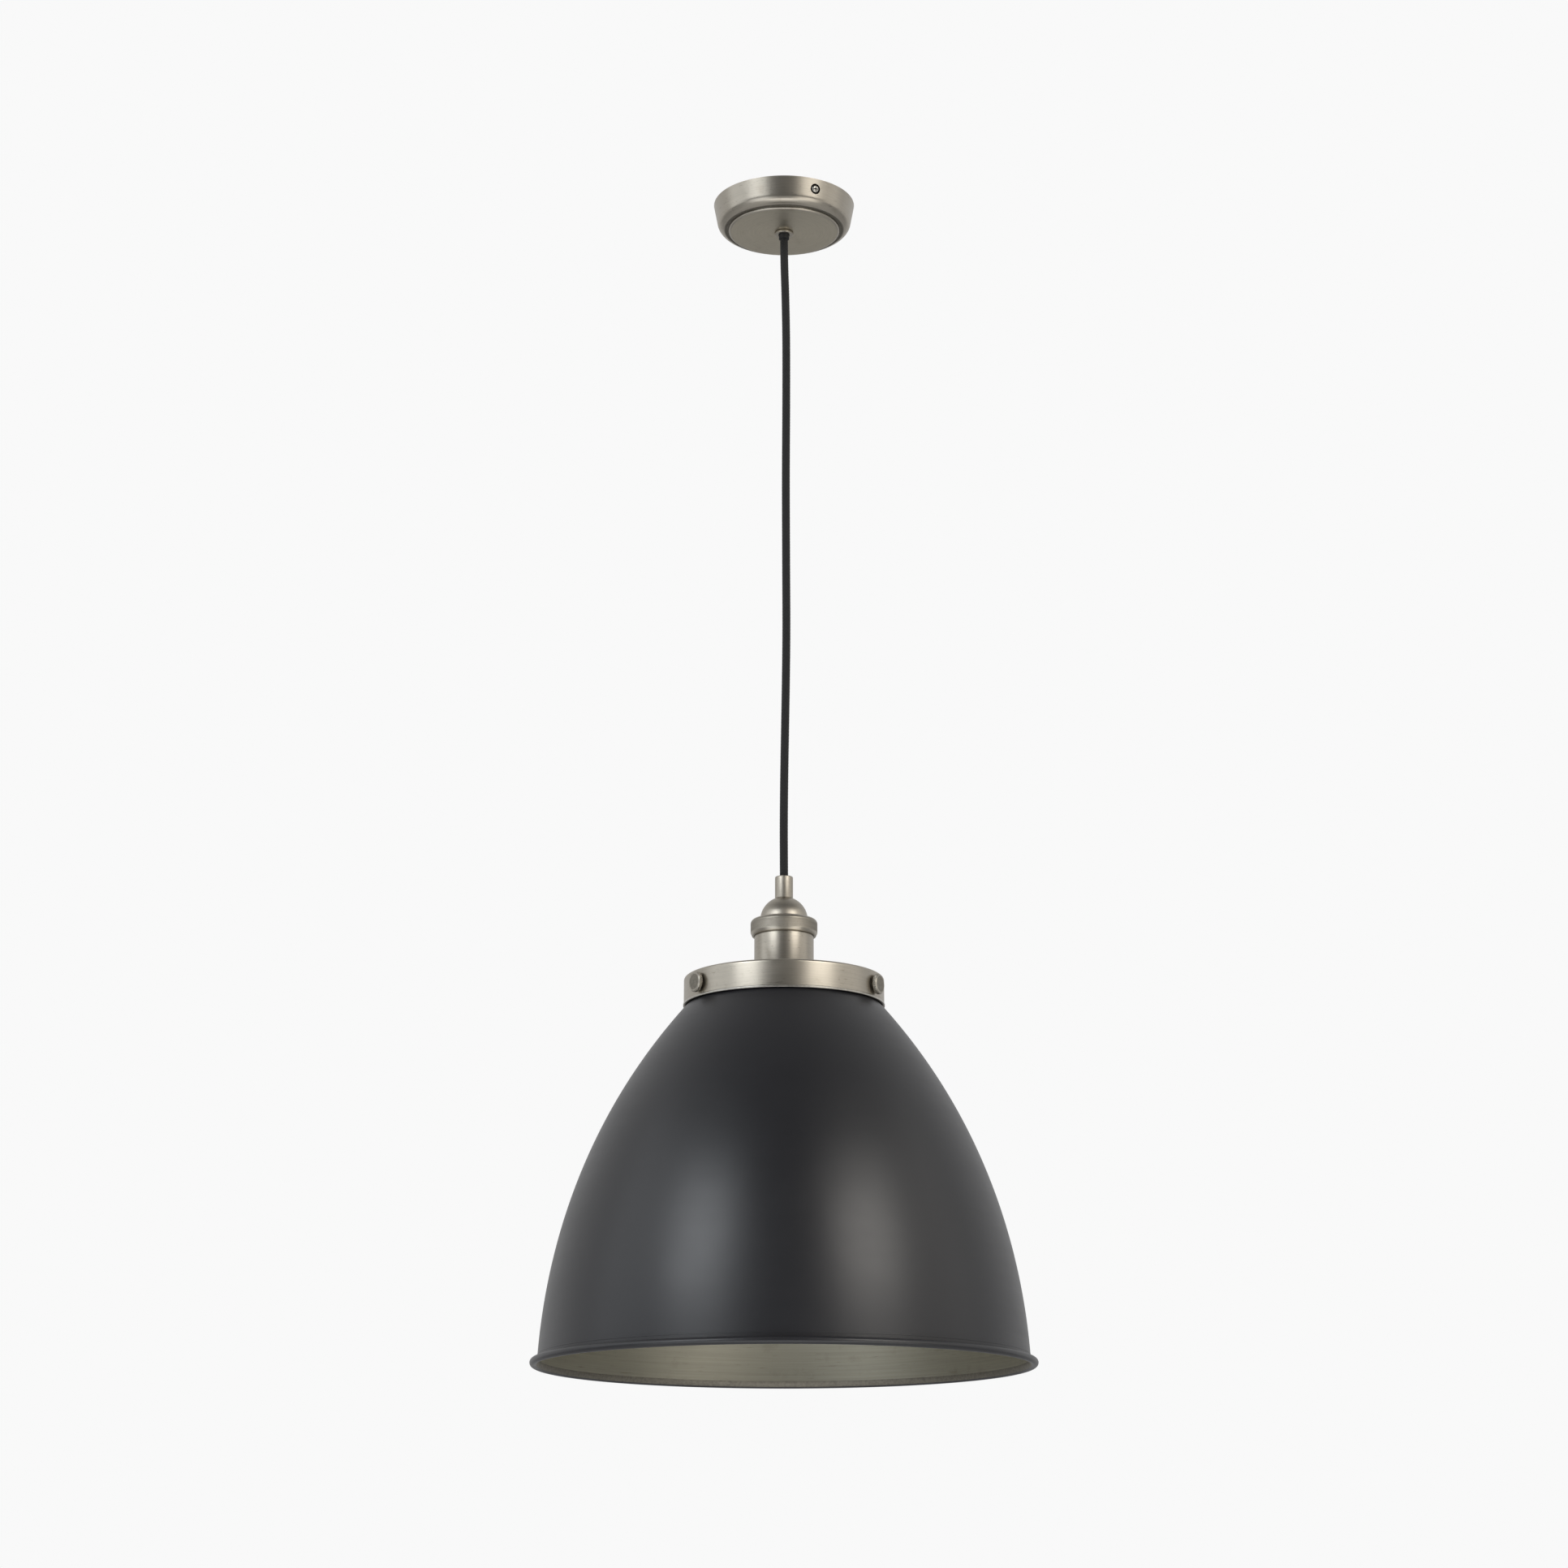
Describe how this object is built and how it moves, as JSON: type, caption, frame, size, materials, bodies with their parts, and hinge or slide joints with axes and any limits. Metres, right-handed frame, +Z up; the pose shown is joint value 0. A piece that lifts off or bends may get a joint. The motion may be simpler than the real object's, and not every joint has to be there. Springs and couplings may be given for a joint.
{
  "type": "pendant ceiling light",
  "caption": "Pendant light: a round ceiling cup, a fabric flex and a wide bell shade held by thumb screws on a collar under a screw-cap lampholder.",
  "frame": {"origin": "middle of the bracket's top face, which lies against the ceiling", "axes": "+Z up along the hanging axis, -Y to the front, +X to the right seen from the front"},
  "size_m": [0.38, 0.38, 0.946],
  "materials": {
    "pewter": "brushed antique pewter",
    "charcoal": "satin charcoal outside, brushed metal inside",
    "fabric": "braided black textile",
    "zinc": "zinc plated",
    "brass": "satin",
    "plastic": "matt black",
    "nylon": "natural white",
    "porcelain": "glazed white",
    "core_brown": "brown insulation",
    "core_blue": "blue insulation",
    "core_green": "green and yellow insulation",
    "glass": "clear",
    "filament": "amber coated"
  },
  "bodies": {
    "canopy": {"ceiling_bracket": "zinc", "canopy_cup": "pewter", "canopy_screw_front": "pewter", "canopy_screw_back": "pewter", "gland_tube": "pewter", "gland_nut": "zinc", "gland_bushing": "plastic", "cord_grip": "nylon", "cord_grip_screw": "brass", "terminal_block": "nylon", "terminal_screw_live": "brass", "terminal_screw_neutral": "brass", "block_screw": "brass", "earth_screw": "brass", "wire_live": "core_brown", "wire_neutral": "core_blue", "wire_earth": "core_green", "cord_inner": "fabric"},
    "flex_in_gland": {"cord_gland_bend": "fabric"},
    "flex_upper": {"cord_upper": "fabric"},
    "flex_lower": {"cord_lower": "fabric"},
    "flex_in_ferrule": {"cord_ferrule_bend": "fabric"},
    "lamp": {"cord_holder_inner": "fabric", "ferrule": "pewter", "ferrule_grub_screw": "zinc", "holder_nut": "zinc", "dome_cap": "pewter", "holder_sleeve": "pewter", "holder_insulator": "porcelain", "screw_shell": "brass", "centre_contact": "brass", "holder_screw_live": "brass", "holder_screw_neutral": "brass", "holder_screw_earth": "brass", "holder_wire_live": "core_brown", "holder_wire_neutral": "core_blue", "holder_wire_earth": "core_green", "gallery": "pewter", "shade_nut": "plastic", "shade": "charcoal"},
    "ring": {"lock_ring": "pewter"},
    "thumb_1": {"thumb_screw_1": "pewter"},
    "thumb_2": {"thumb_screw_2": "pewter"},
    "thumb_3": {"thumb_screw_3": "pewter"},
    "bulb": {"bulb_glass": "glass", "bulb_cap": "brass", "bulb_insulator": "plastic", "bulb_contact": "brass", "bulb_stem": "glass", "bulb_filament": "filament"}
  },
  "joints": [
    {"name": "swing_side", "type": "hinge", "parent": "canopy", "child": "flex_in_gland", "pos_m": [0, 0, -0.0295], "axis": [0, 1, 0], "range_deg": [-30, 30], "deforming": ["cord_gland_bend", "cord_upper"]},
    {"name": "swing_front", "type": "hinge", "parent": "flex_in_gland", "child": "flex_upper", "pos_m": [0, 0, -0.0295], "axis": [1, 0, 0], "range_deg": [-30, 30]},
    {"name": "flex_twist", "type": "hinge", "parent": "flex_upper", "child": "flex_lower", "pos_m": [0, 0, -0.29895], "axis": [0, 0, 1], "range_deg": [-90, 90], "deforming": ["cord_lower"]},
    {"name": "tilt_side", "type": "hinge", "parent": "flex_lower", "child": "flex_in_ferrule", "pos_m": [0, 0, -0.5684], "axis": [0, 1, 0], "range_deg": [-20, 20], "deforming": ["cord_ferrule_bend"]},
    {"name": "tilt_front", "type": "hinge", "parent": "flex_in_ferrule", "child": "lamp", "pos_m": [0, 0, -0.5684], "axis": [1, 0, 0], "range_deg": [-20, 20]},
    {"name": "lock_ring_turn", "type": "hinge", "parent": "lamp", "child": "ring", "pos_m": [0, 0, -0.609], "axis": [0, 0, 1], "range_deg": [0, 360]},
    {"name": "thumb_screw_1_turn", "type": "hinge", "parent": "lamp", "child": "thumb_1", "pos_m": [-0.06463, -0.04278, -0.6608], "axis": [-0.8339, -0.5519, 0], "range_deg": [0, 720]},
    {"name": "thumb_screw_2_turn", "type": "hinge", "parent": "lamp", "child": "thumb_2", "pos_m": [0.06936, -0.03458, -0.6608], "axis": [0.8949, -0.4462, 0], "range_deg": [0, 720]},
    {"name": "thumb_screw_3_turn", "type": "hinge", "parent": "lamp", "child": "thumb_3", "pos_m": [-0.00473, 0.07735, -0.6608], "axis": [-0.061, 0.9981, 0], "range_deg": [0, 720]},
    {"name": "bulb_unscrew", "type": "slide", "parent": "lamp", "child": "bulb", "axis": [0, 0, -1], "range_m": [0, 0.032]}
  ]
}
